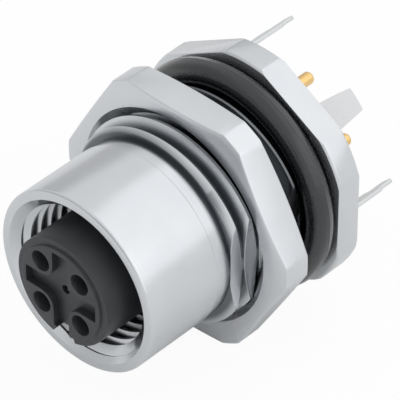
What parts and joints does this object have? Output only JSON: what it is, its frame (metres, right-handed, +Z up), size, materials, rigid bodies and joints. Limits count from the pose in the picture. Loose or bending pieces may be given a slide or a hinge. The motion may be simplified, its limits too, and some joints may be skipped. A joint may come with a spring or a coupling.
{
  "type": "M12 panel-mount circular connector",
  "caption": "Shielded M12 female panel connector, threaded metal housing with sealing ring, hex nut and solder tails",
  "frame": {"origin": "centre of the flange's front face, the face that seals against the back of the panel, on the connector's axis", "axes": "-Y out of the mating face, +Y along the solder tails towards the circuit board, +Z up with the coding keyway below"},
  "size_m": [0.0208, 0.0288, 0.0194],
  "materials": {
    "housing_metal": "nickel plated, satin turned",
    "nut_metal": "nickel plated, satin",
    "seal_rubber": "smooth moulded",
    "insert_plastic": "moulded, fine matt",
    "contact_gold": "gold plated, bright turned",
    "insulator_plastic": "moulded, satin",
    "shield_metal": "tin plated sheet"
  },
  "bodies": {
    "connector": {"housing": "housing_metal", "flange_o_ring": "seal_rubber", "insert_seal": "seal_rubber", "contact_insert": "insert_plastic", "contact_1": "contact_gold", "contact_2": "contact_gold", "contact_3": "contact_gold", "contact_4": "contact_gold", "rear_insulator": "insulator_plastic", "shield_ring": "shield_metal"},
    "nut": {"hex_nut": "nut_metal"}
  },
  "joints": [
    {"name": "nut_travel", "type": "slide", "parent": "connector", "child": "nut", "axis": [0, 1, 0], "range_m": [-0.003, 0.0015]}
  ]
}
